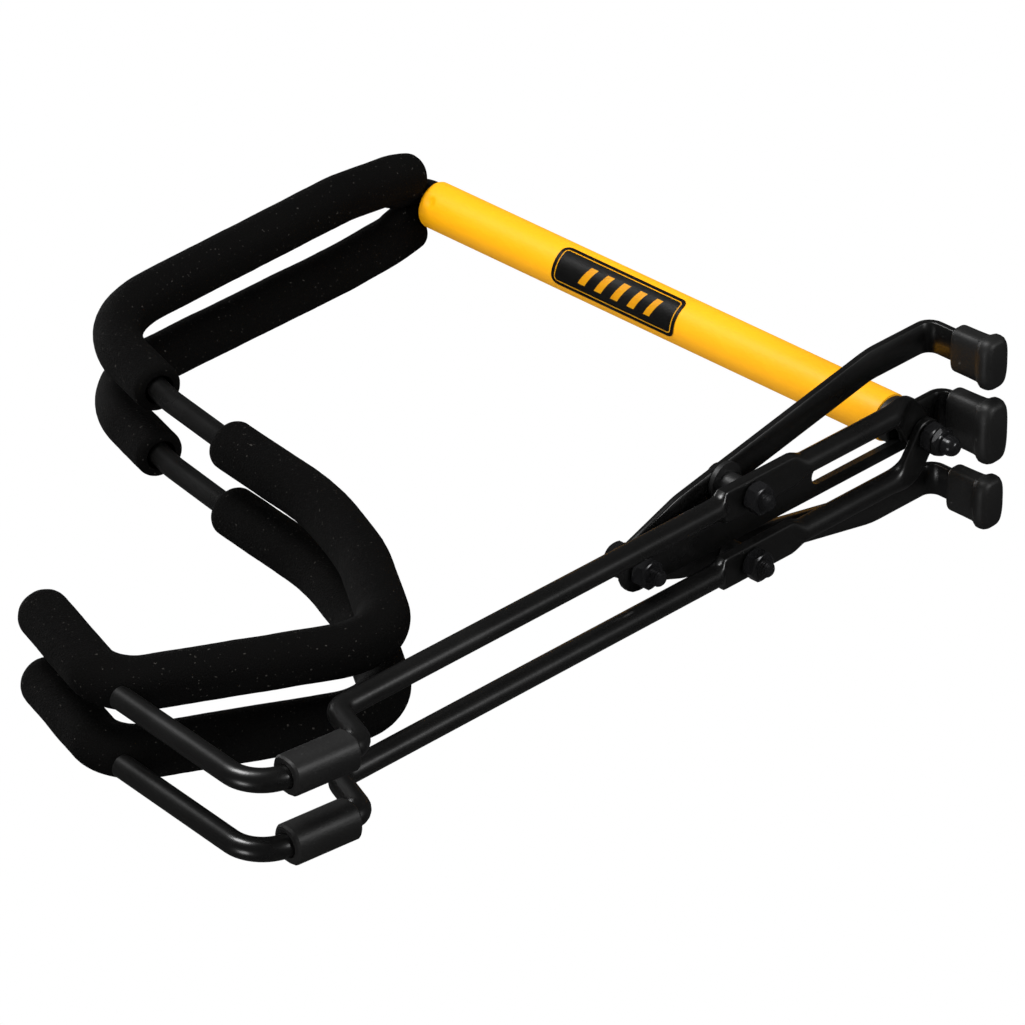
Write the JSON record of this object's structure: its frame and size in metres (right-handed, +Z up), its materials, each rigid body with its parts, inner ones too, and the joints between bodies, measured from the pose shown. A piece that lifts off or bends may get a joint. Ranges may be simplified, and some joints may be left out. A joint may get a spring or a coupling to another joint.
{
  "type": "folding guitar stand",
  "caption": "Compact folding guitar rack, folded: yellow tube, foam-covered bent rod cradle, scissor base with rubber feet.",
  "frame": {"origin": "on the floor under the middle of the folded stand's bounding box", "axes": "+Z up from the floor, +X towards the cradle's upturned tips, +Y to the stand's left. The stand leans back, so its post and its fold axis are 1.25 degrees off +Z, towards -X"},
  "size_m": [0.3582, 0.0748, 0.2746],
  "materials": {
    "yellow_paint": "satin",
    "black_paint": "gloss",
    "black_foam": "matte",
    "black_rubber": "satin",
    "black_plastic": "matte",
    "black_steel": "satin",
    "label_print": "satin"
  },
  "bodies": {
    "post": {"post_tube": "yellow_paint", "post_plug": "black_plastic", "post_label": "label_print", "main_bolt": "black_steel", "main_spacer": "black_plastic", "main_nut": "black_steel", "main_cap_nut": "black_steel"},
    "left_frame": {"left_cradle_rod": "black_paint", "left_base_rod": "black_paint", "left_upper_pad": "black_foam", "left_lower_pad": "black_foam", "left_front_foot": "black_rubber", "left_cross_bolt": "black_steel", "left_cross_nut": "black_steel", "left_cross_spacer": "black_plastic"},
    "right_frame": {"right_cradle_rod": "black_paint", "right_base_rod": "black_paint", "right_upper_pad": "black_foam", "right_lower_pad": "black_foam", "right_front_foot": "black_rubber", "right_cross_bolt": "black_steel", "right_cross_nut": "black_steel", "right_cross_spacer": "black_plastic"},
    "centre_leg_body": {"centre_leg": "black_paint", "centre_foot_cap": "black_rubber", "front_bolt": "black_steel", "front_nut": "black_steel", "front_washer": "black_steel"},
    "left_leg": {"left_rear_leg": "black_paint", "left_rear_foot_cap": "black_rubber", "left_cross_head": "black_steel"},
    "right_leg": {"right_rear_leg": "black_paint", "right_rear_foot_cap": "black_rubber", "right_cross_head": "black_steel"}
  },
  "joints": [
    {"name": "left_fold", "type": "hinge", "parent": "post", "child": "left_frame", "pos_m": [-0.1557, 0, 0.0198], "axis": [-0.0218, 0, 0.9998], "range_deg": [0, 22.8]},
    {"name": "right_fold", "type": "hinge", "parent": "post", "child": "right_frame", "pos_m": [-0.1557, 0, 0.0198], "axis": [-0.0218, 0, 0.9998], "range_deg": [-22.8, 0]},
    {"name": "leg_slide", "type": "slide", "parent": "post", "child": "centre_leg_body", "axis": [-0.9998, 0, -0.0218], "range_m": [0, 0.046]},
    {"name": "left_leg_swing", "type": "hinge", "parent": "centre_leg_body", "child": "left_leg", "pos_m": [-0.0222, 0, 0.03071], "axis": [-0.0218, 0, 0.9998], "range_deg": [-60, 0]},
    {"name": "right_leg_swing", "type": "hinge", "parent": "centre_leg_body", "child": "right_leg", "pos_m": [-0.0222, 0, 0.03071], "axis": [-0.0218, 0, 0.9998], "range_deg": [0, 60]}
  ],
  "couplings": [
    {"joint": "right_fold", "follows": "left_fold", "ratio": -1},
    {"joint": "leg_slide", "follows": "left_fold", "m_per_rad": 0.1155},
    {"joint": "left_leg_swing", "follows": "left_fold", "ratio": -2.63},
    {"joint": "right_leg_swing", "follows": "left_fold", "ratio": 2.63}
  ]
}
